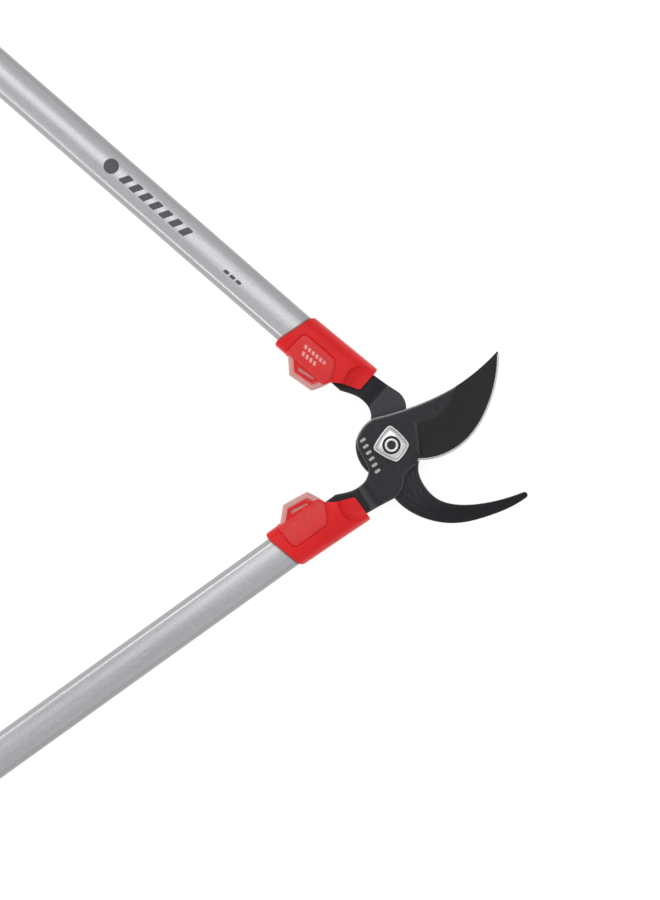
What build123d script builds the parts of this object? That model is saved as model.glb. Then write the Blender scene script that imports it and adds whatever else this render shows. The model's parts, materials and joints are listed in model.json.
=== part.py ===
from build123d import *
from math import cos, radians, sin, sqrt
import os

# Bypass loppers: a curved cutting blade passes over a hooked counter blade. Each blade is
# one forged plate that ends in a tang, and each tang is riveted into its own tube handle.
#
# Frame: +Z is the common pivot axis and points up from the surface that the tool lies on.
# The origin is the middle of the pivot bolt's end face. +X points out of the jaws, and the
# handles run back towards -X, held open with the hook's handle on the +Y side.
#
# A handle has a frame of its own, in which it is drawn once: x runs forward along the
# handle, from the grip to the jaws, y points away from the other handle, z is up, and
# x = y = 0 is the pivot axis. place() turns or mirrors it to the two sides.

# Pose and levels
HALF_OPENING = 38.4          # degrees between +X reversed and each handle
MID_Z = 16.0                 # plane between the two blades, and the handles' middle plane
PLATE = 5.0                  # thickness of both forged plates
SIDE_GAP = 0.1               # half of the gap between the two plates
JOGGLE_FRONT = -30.0         # handle x where a tang starts to step to the middle plane
JOGGLE_BACK = -38.0          # handle x where that step ends

# Pivot
HUB_RADIUS = 25.0
BOLT_RADIUS = 5.0
BOLT_HEAD_RADIUS = 7.2
BOLT_HEAD_HEIGHT = 2.8
BOLT_HEAD_CHAMFER = 0.5
BOLT_END_CHAMFER = 0.8
SOCKET_FLATS = 5.0
SOCKET_DEPTH = 2.2
BUSH_RADIUS = 7.0
RUNNING_GAP = 0.05
WASHER_RADIUS = 10.5
WASHER_THICKNESS = 1.5
NUT_FLATS = 17.0
NUT_BOTTOM = 1.0
NUT_COLLAR = 2.2             # height of the round collar under the hexagon
NUT_CHAMFER = 0.7
CAP_HEIGHT = 4.2
CAP_HOLE_RADIUS = 2.9
CAP_CORNER_RADIUS = 3.2
CAP_HALF_SPAN = 11.0         # from the cap's middle to the middle of a side
CAP_BOW = 1.1                # how far each side bows out
CAP_CHAMFER = 0.9
CAP_RIM = 2.6                # width of the raised rim
CAP_FIELD_DEPTH = 0.7        # how far the field inside the rim is sunk

# Handle tube
TUBE_Y = 16.5                # the tube's axis runs beside the pivot axis, not through it
TUBE_HALF_WIDTH = 13.5
TUBE_HALF_HEIGHT = 10.0
TUBE_WALL = 1.6
TUBE_FRONT = -64.0
TUBE_OVAL_FROM = -330.0      # behind this station the tube is a plain oval
TUBE_BACK = -686.0

# Tang inside the tube
TANG_BACK = -128.0
TANG_INNER = 8.0
TANG_OUTER = 24.5
RIVET_STATIONS = (-79.0, -96.0)   # both under the ferrule
RIVET_RADIUS = 2.8
RIVET_HEAD_RADIUS = 4.2
RIVET_HALF_LENGTH = 9.6
RIVET_HEAD_SUNK = 1.4
SPACER_FRONT = -70.0
SPACER_BACK = -124.0
SPACER_WIDTH = 13.0
SPACER_REACH = 10.0          # block height before it is cut to the tube's hollow

# Plastic ferrule with its rubber bumper
FERRULE_FRONT = -41.8
FERRULE_BACK = -109.0
FERRULE_HALF_HEIGHT = 12.2
FERRULE_HALF_WIDTH = 17.0
BUMPER_SKIN = 1.6
BUMPER_PROUD = 0.35
EAR_HALF_HEIGHT = 8.5

# Grip
BUTT = -690.0
GRIP_BACK = TUBE_BACK
GRIP_FRONT = -546.0
GRIP_STATIONS = ((0.0, 19.2, 15.6), (0.16, 18.6, 16.0), (0.45, 17.0, 15.0),
                 (0.75, 18.4, 16.0), (0.93, 16.6, 13.2), (1.0, 17.4, 13.6))
INLAY_DEPTH = 1.6
INLAY_LENGTH = 104.0
INLAY_WIDTH = 15.0
PLUG_DEPTH = 16.0
BUTT_RADIUS = 2.5

# Length of solids that only cut others or are cut, well past the whole tool
REACH = 200.0

SIDES = {"blade": -1, "hook": 1}


# ---- helpers ---------------------------------------------------------------------------

def on_handle(x, y, side):
    """Where the point (x, y) of a handle's frame lies in the tool's frame."""
    turn = radians(HALF_OPENING)
    return (x * cos(turn) + y * sin(turn), side * (y * cos(turn) - x * sin(turn)))


def place(solid, side):
    """Move a solid from the handle's frame to its side of the tool."""
    if side < 0:
        solid = mirror(solid, about=Plane.XZ)
    return Rot(0, 0, -side * HALF_OPENING) * solid


def prism(outline, low, high):
    """Upright prism of a closed outline between two levels."""
    return Pos(0, 0, low) * extrude(make_face(outline), high - low)


def polygon(points, radii=None):
    """Closed flat face with straight sides and, where radii says so, rounded corners."""
    face = make_face(Polyline(*points, close=True))
    for point, radius in (radii or {}).items():
        corner = face.vertices().sort_by_distance((point[0], point[1], 0))[0]
        face = fillet(corner, radius)
    return face


def across(x, y=TUBE_Y):
    """Plane square to the handle at station x: its x is the handle's y, its y is up."""
    return Plane(origin=(x, y, MID_Z), x_dir=(0, 1, 0), z_dir=(1, 0, 0))


def arc_section(plane, upper):
    """Section that is the same above and below, made of six arcs.

    upper lists seven points of its upper half, from the outer side over the top to the
    inner side: the outer, top, corner and inner arcs join at the 2nd, 4th and 6th.
    """
    outer, shoulder, top, ridge, corner, edge, inner = upper
    under = [(u, -v) for u, v in upper]
    arcs = (
        ThreePointArc(shoulder, outer, under[1]),
        ThreePointArc(under[1], under[2], under[3]),
        ThreePointArc(under[3], under[4], under[5]),
        ThreePointArc(under[5], inner, edge),
        ThreePointArc(edge, corner, ridge),
        ThreePointArc(ridge, top, shoulder),
    )
    return plane * make_face(arcs)


# ---- forged plates -----------------------------------------------------------------------

# Cutting edge of the blade, from its heel to its tip
EDGE_POINTS = ((20.3, -9.5), (35.0, -6.4), (50.0, 3.0), (60.0, 15.3), (66.8, 30.0),
               (71.6, 50.0), (72.3, 67.0))
GRIND_WIDTH = 26.5           # the face is ground thinner this far from the edge
GRIND_EDGE = 1.5             # thickness left beside the edge by that grinding
BEVEL_WIDTH = 1.4            # bright sharpened strip
BEVEL_EDGE = 0.25            # thickness of the cutting edge itself


def tang_edges(side):
    """Both edges of the tang in the handle's frame, up to where it leaves the hub."""
    outer = [(TANG_BACK, TANG_OUTER), (-62, TANG_OUTER), (-54, 27.6), (-42, 28.8),
             (-30, 30), (-20, 31.4)]
    inner = [(-22.5, 4), (-25.3, 7.2), (-29, 9.4), (-34, 10.4), (-40, 10), (-46, 8),
             (-52, 5.3), (-60, 5.3), (-64, TANG_INNER), (TANG_BACK, TANG_INNER)]
    return ([on_handle(x, y, side) for x, y in outer],
            [on_handle(x, y, side) for x, y in inner])


def tang_outline(side, hub_outline):
    """Closed outline: the tang's two edges joined by the hub's and jaw's own edges."""
    outer, inner = tang_edges(side)
    return [
        Polyline(*outer),
        *hub_outline,
        Spline(*inner[:7]),
        Polyline(*inner[6:]),
        Line(inner[-1], outer[0]),
    ]


def joggled_sheet(side):
    """Sheet that holds a whole plate: level at the jaws, stepped to MID_Z at the tang."""
    level = -side * (SIDE_GAP + PLATE / 2)
    bend = [(REACH, level), (JOGGLE_FRONT, level), (JOGGLE_BACK, 0), (-REACH, 0)]
    lower = [(x, MID_Z + z - PLATE / 2) for x, z in bend]
    upper = [(x, MID_Z + z + PLATE / 2) for x, z in reversed(bend)]
    profile = Plane.XZ * make_face(Polyline(*lower, *upper, close=True))
    return place(extrude(profile, REACH, both=True), side)


def plate(side, outline):
    """A forged plate with its joggle, and a bore for the pivot."""
    body = prism(outline, 0, 2 * MID_Z) & joggled_sheet(side)
    bore = BOLT_RADIUS if side < 0 else BUSH_RADIUS
    body -= Pos(0, 0, MID_Z) * Cylinder(bore, 2 * MID_Z)
    for rivet in rivet_solids():
        body -= place(rivet, side)
    return body


def beside_edge(width, level):
    """Face from a line inside the cutting edge to well outside the blade."""
    edge = Spline(*EDGE_POINTS)
    inside = []
    for step in range(len(EDGE_POINTS)):
        at = step / (len(EDGE_POINTS) - 1)
        along = edge % at
        inside.append(edge @ at + Vector(-along.Y, along.X) * width)
    heel = EDGE_POINTS[0]
    past_tip = 110.0
    below_heel = 9.0
    start = Vector(*heel) + Vector(1.2, -below_heel)
    corner = Vector(past_tip, heel[1] - below_heel)
    end = Vector(past_tip, inside[-1].Y)
    line = Spline(*inside)
    rim = Polyline(line @ 0, start, corner, end, line @ 1)
    return Pos(0, 0, level) * make_face([line, rim])


def ground_away(width, thin, thick):
    """What grinding removes: a slope that starts width inside the cutting edge.

    Its ends lie a little outside the edge and above the face, so that it cuts cleanly.
    """
    bottom = MID_Z + SIDE_GAP
    rise = (thick - thin) / width
    outside = 1.0
    above = 0.5
    low = beside_edge(-outside, bottom + thin - rise * outside)
    high = beside_edge(width + above / rise, bottom + thick + above)
    return loft([low, high], ruled=True)


def cutting_blade():
    """The blade: upper plate, ground from its outer face to a sharp curved edge."""
    outer, inner = tang_edges(-1)
    tip = (71.0, 69.3)
    hub = [
        Spline(outer[-1], (7.7, -32.8), (9.6, -28), (10.1, -22.5), (12.6, -17.6)),
        Polyline((12.6, -17.6), (18.6, -11.8), EDGE_POINTS[0]),
        Spline(*EDGE_POINTS),
        Line(EDGE_POINTS[-1], tip),
        Spline(tip, (55, 52.8), (40, 41.3), (20, 30.5), (0, 22.4), (-13.6, 18.2)),
        RadiusArc((-13.6, 18.2), (-24.9, 2.2), -HUB_RADIUS),
        Polyline((-24.9, 2.2), (-23.6, -3), inner[0]),
    ]
    blade = plate(-1, tang_outline(-1, hub))
    blade -= ground_away(GRIND_WIDTH, GRIND_EDGE, PLATE)
    blade -= ground_away(BEVEL_WIDTH, BEVEL_EDGE, GRIND_EDGE)
    return blade


def hook():
    """The counter blade: lower plate, a hook with a blunt square inner edge."""
    outer, inner = tang_edges(1)
    shoulder = on_handle(-8, 25, 1)
    heel = (4, -37)
    hub = [
        Spline(outer[-1], on_handle(-13, 29.6, 1), shoulder),
        ThreePointArc(shoulder, (20.4, 10), EDGE_POINTS[0]),
        Spline(EDGE_POINTS[0], (20, -17.5), (24.8, -27.5), (35, -36.4), (48, -39.3),
               (65, -37.8), (80, -33.9), (94.6, -28.2)),
        ThreePointArc((94.6, -28.2), (97, -30), (95.6, -32.6)),
        Spline((95.6, -32.6), (84, -40.2), (70, -46.4), (55, -51.2), (42, -52.6),
               (27, -50.4), (13, -44.4), heel),
        Line(heel, (-9.6, -23.1)),
        ThreePointArc((-9.6, -23.1), (-HUB_RADIUS * cos(radians(40)),
                                      -HUB_RADIUS * sin(radians(40))), (-24.9, 2.2)),
        Polyline((-24.9, 2.2), inner[0]),
    ]
    return plate(1, tang_outline(1, hub))


# ---- pivot -------------------------------------------------------------------------------

BLADE_TOP = MID_Z + SIDE_GAP + PLATE
HOOK_BOTTOM = MID_Z - SIDE_GAP - PLATE
WASHER_TOP = HOOK_BOTTOM - SIDE_GAP
CAP_CORNERS = ((-2.2, 14.6), (12.6, 1.4), (4.4, -11.9), (-13.2, -3.2))


def pivot_bolt():
    """Socket head bolt, head up, whose end face is the tool's middle resting point."""
    shank = Pos(0, 0, BLADE_TOP / 2) * Cylinder(BOLT_RADIUS, BLADE_TOP)
    shank = chamfer(shank.edges().sort_by(Axis.Z)[0], BOLT_END_CHAMFER)
    head = Cylinder(BOLT_HEAD_RADIUS, BOLT_HEAD_HEIGHT)
    head = chamfer(head.edges().sort_by(Axis.Z)[-1], BOLT_HEAD_CHAMFER)
    head = Pos(0, 0, BLADE_TOP + BOLT_HEAD_HEIGHT / 2) * head
    socket = RegularPolygon(SOCKET_FLATS / 2, 6, major_radius=False)
    top = BLADE_TOP + BOLT_HEAD_HEIGHT
    return shank + head - Pos(0, 0, top - SOCKET_DEPTH) * extrude(socket, SOCKET_DEPTH + 1)


def cap_outline(inset):
    """Rounded four-cornered shield with slightly bowed sides."""
    middle = sum((Vector(*corner) for corner in CAP_CORNERS), Vector()) / len(CAP_CORNERS)
    sides = []
    shrink = 1 - inset / CAP_HALF_SPAN
    points = [middle + (Vector(*corner) - middle) * shrink for corner in CAP_CORNERS]
    for start, end in zip(points, points[1:] + points[:1]):
        bow = (start + end) * 0.5
        outward = (bow - middle).normalized()
        sides.append(ThreePointArc(start, bow + outward * CAP_BOW, end))
    face = make_face(sides)
    return fillet(face.vertices(), CAP_CORNER_RADIUS * shrink)


def pivot_cap():
    """Bright cap with a raised rim that hides the bolt's head, open over its socket."""
    cap = Pos(0, 0, BLADE_TOP) * extrude(cap_outline(0), CAP_HEIGHT)
    cap = chamfer(cap.faces().sort_by(Axis.Z)[-1].edges(), CAP_CHAMFER)
    field = extrude(cap_outline(CAP_RIM), CAP_HEIGHT)
    cap -= Pos(0, 0, BLADE_TOP + CAP_HEIGHT - CAP_FIELD_DEPTH) * field
    head_room = Cylinder(BOLT_HEAD_RADIUS + 0.2, 2 * (BOLT_HEAD_HEIGHT + 0.1))
    hole = Cylinder(CAP_HOLE_RADIUS, 4 * CAP_HEIGHT)
    return cap - Pos(0, 0, BLADE_TOP) * (head_room + hole)


def ring(outer, inner, low, high):
    """Plain ring about the pivot axis."""
    middle = Pos(0, 0, (low + high) / 2)
    return middle * (Cylinder(outer, high - low) - Cylinder(inner, high - low))


def pivot_bush():
    """Bush pressed into the hook, which turns on the bolt's shank."""
    return ring(BUSH_RADIUS, BOLT_RADIUS + RUNNING_GAP, HOOK_BOTTOM, HOOK_BOTTOM + PLATE)


def pivot_washer():
    """Washer between the hook and the nut."""
    return ring(WASHER_RADIUS, BOLT_RADIUS, WASHER_TOP - WASHER_THICKNESS, WASHER_TOP)


def pivot_nut():
    """Locking nut: a hexagon with a round collar below it."""
    top = WASHER_TOP - WASHER_THICKNESS
    low = NUT_BOTTOM + NUT_COLLAR
    hexagon = extrude(RegularPolygon(NUT_FLATS / 2, 6, major_radius=False), top - low)
    trim = Pos(0, 0, (low + top) / 2) * Cylinder(NUT_FLATS / 2 + 1, top - low)
    trim = chamfer(trim.edges().filter_by(GeomType.CIRCLE), NUT_CHAMFER)
    neck = Pos(0, 0, (NUT_BOTTOM + low) / 2) * Cylinder(NUT_FLATS / 2 - 1, NUT_COLLAR)
    neck = chamfer(neck.edges().sort_by(Axis.Z)[0], NUT_CHAMFER)
    bore = Pos(0, 0, MID_Z / 2) * Cylinder(BOLT_RADIUS, MID_Z)
    return ((Pos(0, 0, low) * hexagon) & trim) + neck - bore


# ---- handle: tube, tang joint ------------------------------------------------------------

def tube_section(x, roundness, inset):
    """The tube's section: an oval with, near the jaws, a chamfered inner corner."""
    ridged = ((13.5, 0), (7, 9.2), (-1.5, 10), (-9.5, 8.6), (-11.7, 6.1), (-13.2, 3),
              (-13.5, 0))
    wide = 1 - inset / TUBE_HALF_WIDTH
    high = 1 - inset / TUBE_HALF_HEIGHT
    points = []
    for u, v in ridged:
        oval = TUBE_HALF_HEIGHT * sqrt(1 - (u / TUBE_HALF_WIDTH) ** 2)
        points.append((u * wide, (v + (oval - v) * roundness) * high))
    return arc_section(across(x), points)


def tube_form(inset=0.0):
    """Solid form of the tube, or with an inset of its hollow."""
    oval = tube_section(TUBE_OVAL_FROM, 1, inset)
    front = loft([tube_section(TUBE_FRONT, 0, inset), oval], ruled=True)
    return front + extrude(oval, TUBE_OVAL_FROM - TUBE_BACK, dir=(-1, 0, 0))


def rivet_solids():
    """Countersunk rivets that hold the tang in the tube."""
    under_head = RIVET_HALF_LENGTH - RIVET_HEAD_SUNK
    profile = make_face(Polyline(
        (0, -RIVET_HALF_LENGTH), (RIVET_HEAD_RADIUS, -RIVET_HALF_LENGTH),
        (RIVET_RADIUS, -under_head), (RIVET_RADIUS, under_head),
        (RIVET_HEAD_RADIUS, RIVET_HALF_LENGTH), (0, RIVET_HALF_LENGTH), close=True))
    rivet = revolve(Plane.XZ * profile, Axis.Z)
    return [Pos(x, TUBE_Y, MID_Z) * rivet for x in RIVET_STATIONS]


def rivet_recess(x):
    """Holes through the tube's wall above and below a rivet's heads."""
    through = Cylinder(RIVET_HEAD_RADIUS, 4 * TUBE_HALF_HEIGHT)
    return Pos(x, TUBE_Y, MID_Z) * (through - Cylinder(RIVET_HEAD_RADIUS, 2 * RIVET_HALF_LENGTH))


def tang_spacers(hollow):
    """Fillers above and below the tang, which wedge it in the tube's hollow."""
    length = SPACER_FRONT - SPACER_BACK
    middle = (SPACER_FRONT + SPACER_BACK) / 2
    fillers = []
    for up in (1, -1):
        level = MID_Z + up * (PLATE + SPACER_REACH) / 2
        block = Pos(middle, TUBE_Y - 0.5, level) * Box(length, SPACER_WIDTH, SPACER_REACH)
        fillers.append(block & hollow)
    return fillers


# ---- handle: ferrule and bumper ------------------------------------------------------------

FERRULE_OUTLINE = ((-100.2, 32.3), (-41.8, 33.7), (-42, 14.5), (-55, 9.4), (-61.4, 4.8),
                   (-64.2, -0.9), (-108.8, -0.9))
PANEL_OUTLINE = ((-98.2, -1.6), (-96.8, 18.8), (-69.2, 19), (-65, 14), (-60.9, 5),
                 (-64, -2), (-66, -12))
EAR_OUTLINE = ((-96, 1), (-95, -1), (-86, -10.2), (-67, -8.1), (-63.2, -0.9), (-60.9, 4.8),
               (-75, 8), (-90, 8))
RIB_OUTER = ((-94, 3), (-84.8, -6), (-71.8, -4.6), (-66.6, 3))
RIB_WINDOW = ((-87.4, 4), (-87.4, -0.2), (-83.4, -4.2), (-73.2, -3.1), (-71.2, -0.2),
              (-71.2, 4))
SCALLOP_CENTRE = (-41.5, 19.5)
SCALLOP_RADIUS = 15.0
SCALLOP_FLOOR = 8.6


def ferrule_section(x, outer, grow):
    """The ferrule's section, square to the handle; grow moves its skin outwards."""
    upper = ((outer, 0), (9, 11.5), (-3, FERRULE_HALF_HEIGHT), (-12.5, 11), (-15.8, 8.9),
             (-17.2, 5), (-17.4, 0))
    wide = 1 + grow / FERRULE_HALF_WIDTH
    high = 1 + grow / FERRULE_HALF_HEIGHT
    points = [(u * wide, v * high) for u, v in upper]
    return arc_section(across(x), points)


def ferrule_form(grow=0.0):
    """Solid form of the ferrule, cut to its outline seen from above."""
    ends = [ferrule_section(FERRULE_BACK, 15.6, grow),
            ferrule_section(FERRULE_FRONT, 17.2, grow)]
    return loft(ends, ruled=True)


def tang_bar():
    """The stretch of tang inside the ferrule and the tube, for cutting its slot."""
    face = make_face(Polyline((-36, 29.4), (-42, 28.8), (-54, 27.6), (-62, TANG_OUTER),
                              (TANG_BACK, TANG_OUTER), (TANG_BACK, TANG_INNER),
                              (-64, TANG_INNER), (-60, 5.3), (-52, 5.3), (-36, 5.3), close=True))
    return Pos(0, 0, MID_Z - PLATE / 2) * extrude(face, PLATE)


def upright(points, half_height, radii=None):
    """Upright prism of a polygon, centred on the handle's middle plane."""
    face = polygon(points, radii)
    return Pos(0, 0, MID_Z - half_height) * extrude(face, 2 * half_height)


def ear_rib():
    """Stiff loop of the ferrule that carries the bumper's ear."""
    loop = upright(RIB_OUTER, EAR_HALF_HEIGHT, {RIB_OUTER[1]: 1.2, RIB_OUTER[2]: 1.2})
    return loop - upright(RIB_WINDOW, EAR_HALF_HEIGHT + 1)


def scallops():
    """Thumb cuts at the front of the ferrule, on its upper and lower face."""
    depth = 5.0
    wall = 3.2
    cone = Cone(SCALLOP_RADIUS - wall, SCALLOP_RADIUS + wall / 2, depth)
    upper = Pos(*SCALLOP_CENTRE, MID_Z + SCALLOP_FLOOR + depth / 2) * cone
    return [upper, mirror(upper, about=Plane.XY.offset(MID_Z))]


def ferrule_and_bumper(tube_solid):
    """Hard ferrule, and the soft bumper moulded over its inner side."""
    corners = {FERRULE_OUTLINE[0]: 4.0, FERRULE_OUTLINE[1]: 1.5, FERRULE_OUTLINE[2]: 2.0,
               FERRULE_OUTLINE[6]: 3.5}
    shape = upright(FERRULE_OUTLINE, 20, corners)
    form = ferrule_form() & shape
    core = ferrule_form(-BUMPER_SKIN) & shape
    panel = upright(PANEL_OUTLINE, 20, {PANEL_OUTLINE[1]: 3.5, PANEL_OUTLINE[2]: 4.0,
                                        PANEL_OUTLINE[3]: 5.0})
    skin = (ferrule_form(BUMPER_PROUD) & panel) - core
    rib = ear_rib()
    ear = upright(EAR_OUTLINE, EAR_HALF_HEIGHT, {EAR_OUTLINE[2]: 1.5, EAR_OUTLINE[3]: 2.0})
    bumper = (skin + ear) - core - rib
    ferrule = (form - panel) + core + rib
    for cut in (*scallops(), tube_solid, tang_bar()):
        ferrule -= cut
    return ferrule, bumper - tang_bar()


# ---- handle: grip --------------------------------------------------------------------------

def grip_form(grow=0.0):
    """Solid form of the grip: lofted ovals with flats above and below to lie on."""
    ovals = []
    for share, half_width, half_height in GRIP_STATIONS:
        x = GRIP_BACK + (GRIP_FRONT - GRIP_BACK) * share
        ovals.append(across(x) * Ellipse(half_width + grow, half_height + grow))
    return loft(ovals) & Pos(GRIP_BACK, 0, MID_Z) * Box(2 * REACH, REACH, 2 * MID_Z)


def grip_inlay(form):
    """Soft pad let into the palm side of the grip."""
    middle = (GRIP_BACK + GRIP_FRONT) / 2 - 4
    face = Plane(origin=(middle, TUBE_Y, MID_Z), x_dir=(1, 0, 0), z_dir=(0, 1, 0))
    pad = extrude(face * SlotOverall(INLAY_LENGTH, INLAY_WIDTH), 40)
    return (form & pad) - grip_form(-INLAY_DEPTH)


def end_cap(hollow):
    """Plug that closes the tube, with a rim that covers the grip's end."""
    oval = Ellipse(GRIP_STATIONS[0][1], GRIP_STATIONS[0][2])
    rim = extrude(across(BUTT) * oval, GRIP_BACK - BUTT)
    rim = fillet(rim.edges().sort_by(Axis.X)[0], BUTT_RADIUS)
    plug = Pos(GRIP_BACK + PLUG_DEPTH / 2, TUBE_Y, MID_Z) * Box(PLUG_DEPTH, REACH, 2 * MID_Z)
    return rim + (plug & hollow)


def handle_pieces():
    """All the pieces of one handle, in the handle's frame."""
    outside = tube_form()
    hollow = tube_form(TUBE_WALL)
    tube = outside - hollow
    rivets = rivet_solids()
    spacers = tang_spacers(hollow)
    for station, rivet in zip(RIVET_STATIONS, rivets):
        tube = tube - rivet - rivet_recess(station)
        spacers = [spacer - rivet for spacer in spacers]
    ferrule, bumper = ferrule_and_bumper(outside)
    form = grip_form()
    inlay = grip_inlay(form)
    return {
        "tube": tube,
        "tang_rivets": Compound(rivets),
        "tang_spacers": Compound(spacers),
        "ferrule": ferrule,
        "bumper": bumper,
        "grip": form - outside - inlay,
        "grip_inlay": inlay,
        "end_cap": end_cap(hollow),
    }


# ---- all nodes -----------------------------------------------------------------------------

def main():
    nodes = {
        "cutting_blade": cutting_blade(),
        "hook": hook(),
        "pivot_bolt": pivot_bolt(),
        "pivot_cap": pivot_cap(),
        "pivot_bush": pivot_bush(),
        "pivot_washer": pivot_washer(),
        "pivot_nut": pivot_nut(),
    }
    for name, piece in handle_pieces().items():
        for arm, side in SIDES.items():
            nodes[f"{arm}_{name}"] = place(piece, side)
    os.makedirs("parts", exist_ok=True)
    for name, solid in nodes.items():
        export_step(solid, f"parts/{name}.step")


main()
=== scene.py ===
import json
from math import cos, pi, radians, sin

import bmesh
import bpy
import numpy as np
from mathutils import Matrix, Vector
from mathutils.geometry import delaunay_2d_cdt

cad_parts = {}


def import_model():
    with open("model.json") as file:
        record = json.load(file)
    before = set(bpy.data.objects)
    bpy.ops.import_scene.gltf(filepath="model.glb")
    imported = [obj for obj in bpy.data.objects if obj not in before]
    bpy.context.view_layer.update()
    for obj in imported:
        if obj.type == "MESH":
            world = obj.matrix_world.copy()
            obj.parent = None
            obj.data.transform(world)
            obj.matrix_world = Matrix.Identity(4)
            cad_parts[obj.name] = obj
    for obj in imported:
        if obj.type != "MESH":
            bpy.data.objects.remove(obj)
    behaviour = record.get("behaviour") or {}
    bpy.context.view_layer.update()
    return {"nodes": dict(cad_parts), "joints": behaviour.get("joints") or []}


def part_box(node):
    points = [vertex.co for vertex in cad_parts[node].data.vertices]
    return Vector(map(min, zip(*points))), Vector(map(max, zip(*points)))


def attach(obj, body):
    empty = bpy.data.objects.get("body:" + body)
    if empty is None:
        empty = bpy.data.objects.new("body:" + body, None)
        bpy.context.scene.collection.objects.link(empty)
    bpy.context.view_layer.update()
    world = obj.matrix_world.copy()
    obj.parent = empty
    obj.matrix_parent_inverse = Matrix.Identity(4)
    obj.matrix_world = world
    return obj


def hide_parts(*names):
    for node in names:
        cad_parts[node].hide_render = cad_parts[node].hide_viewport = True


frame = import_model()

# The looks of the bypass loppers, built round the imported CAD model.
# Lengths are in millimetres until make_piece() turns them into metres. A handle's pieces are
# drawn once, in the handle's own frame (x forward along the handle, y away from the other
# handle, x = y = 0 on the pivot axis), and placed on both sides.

MM = 0.001
HALF_OPENING = radians(38.4)
PIVOT = Vector(frame["joints"][0]["pos_m"])
MID_Z = PIVOT.z / MM
SIDES = {"blade": -1, "hook": 1}
BODIES = {"blade": "blade_arm", "hook": "hook_arm"}
NEARLY_STRAIGHT = 1.5           # half a corner's angle, from which it isn't rounded


# ---- numbers and curves ----

def smooth(t):
    """0 below 0, 1 above 1, and a soft S between."""
    t = np.clip(t, 0.0, 1.0)
    return t * t * (3 - 2 * t)


def soft_min(a, b, blend):
    """The smaller of two heights, with their crossing rounded over blend."""
    h = np.clip(0.5 + 0.5 * (b - a) / blend, 0.0, 1.0)
    return b * (1 - h) + a * h - blend * h * (1 - h)


def arc(start, through, end, count):
    """Points from start up to, but not including, end on the arc through three points."""
    a, b, c = (complex(*p) for p in (start, through, end))
    w = (c - a) / (b - a)
    centre = (b - a) * (w - abs(w) ** 2) / (2j * w.imag) + a
    radius = abs(a - centre)
    angle_a, angle_b, angle_c = (np.angle(p - centre) for p in (a, b, c))
    turn = (angle_c - angle_a) % (2 * pi)
    if (angle_b - angle_a) % (2 * pi) > turn:
        turn -= 2 * pi
    angles = angle_a + turn * np.arange(count) / count
    return np.column_stack([centre.real + radius * np.cos(angles),
                            centre.imag + radius * np.sin(angles)])


def rounded_polygon(corners, radii, step=0.5):
    """Closed outline through the corners, each one rounded by its radius."""
    corners = np.array(corners, float)
    points = []
    for i, here in enumerate(corners):
        before = corners[i - 1] - here
        after = corners[(i + 1) % len(corners)] - here
        before /= np.linalg.norm(before)
        after /= np.linalg.norm(after)
        half = np.arccos(np.clip(before @ after, -1, 1)) / 2
        if radii[i] == 0 or half > NEARLY_STRAIGHT:
            points.append(here)
            continue
        reach = radii[i] / np.tan(half)
        middle = here + (before + after) / np.linalg.norm(before + after) * radii[i] / np.sin(half)
        through = middle + (here - middle) / np.linalg.norm(here - middle) * radii[i]
        bend = max(4, int((pi - 2 * half) * radii[i] / step) + 2)
        points.extend(arc(here + before * reach, through, here + after * reach, bend))
        points.append(here + after * reach)
    return np.array(points)


def runs(loop):
    """Start and end of each run of a closed outline."""
    return zip(loop, np.roll(loop, -1, axis=0))


def respaced(loop, step):
    """The closed outline with long runs divided, its own points kept."""
    points = []
    for start, end in runs(loop):
        pieces = max(1, int(np.ceil(np.linalg.norm(end - start) / step)))
        points.extend(start + (end - start) * k / pieces for k in range(pieces))
    return np.array(points)


def distance(points, line, closed=True):
    """Distance from each point to a polyline."""
    best = np.full(len(points), 1e9)
    for start, end in runs(line) if closed else zip(line, line[1:]):
        run = end - start
        share = np.clip((points - start) @ run / max(run @ run, 1e-12), 0, 1)
        gap = points - start - share[:, None] * run
        best = np.minimum(best, np.hypot(gap[:, 0], gap[:, 1]))
    return best


def inside(points, loop):
    """Which points lie inside a closed outline."""
    found = np.zeros(len(points), bool)
    x, y = points[:, 0], points[:, 1]
    for (x0, y0), (x1, y1) in runs(loop):
        if y0 == y1:
            continue
        crosses = (y0 > y) != (y1 > y)
        found ^= crosses & (x < (x1 - x0) * (y - y0) / (y1 - y0) + x0)
    return found


def norms(vectors):
    """Length of each row."""
    return np.linalg.norm(vectors, axis=1)


def left_of(along):
    """Unit normals to the left of directions in the plan."""
    along = along / norms(along)[:, None]
    return np.column_stack([-along[:, 1], along[:, 0]])


def softened(ring, times):
    """Ring with its corners eased by averaging neighbours."""
    for _ in range(times):
        ring = (ring * 2 + np.roll(ring, 1, axis=0) + np.roll(ring, -1, axis=0)) / 4
    return ring


def circle(radius, count, centre):
    """Points of a circle."""
    angles = np.arange(count) * 2 * pi / count
    return np.column_stack([centre[0] + radius * np.cos(angles),
                            centre[1] + radius * np.sin(angles)])


# ---- meshes ----

def handle_matrix(side):
    """Turns a handle's frame to its side of the tool."""
    mirror = Matrix.Diagonal((1, side, 1, 1))
    return Matrix.Rotation(-side * HALF_OPENING, 4, "Z") @ mirror


def to_handle(points, side):
    """Plan points of the tool's frame in a handle's frame."""
    x, y = points[:, 0], points[:, 1] * side
    return np.column_stack([x * cos(HALF_OPENING) - y * sin(HALF_OPENING),
                            x * sin(HALF_OPENING) + y * cos(HALF_OPENING)])


def linked(name, data):
    """A new object in the scene."""
    made = bpy.data.objects.new(name, data)
    bpy.context.scene.collection.objects.link(made)
    return made


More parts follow.
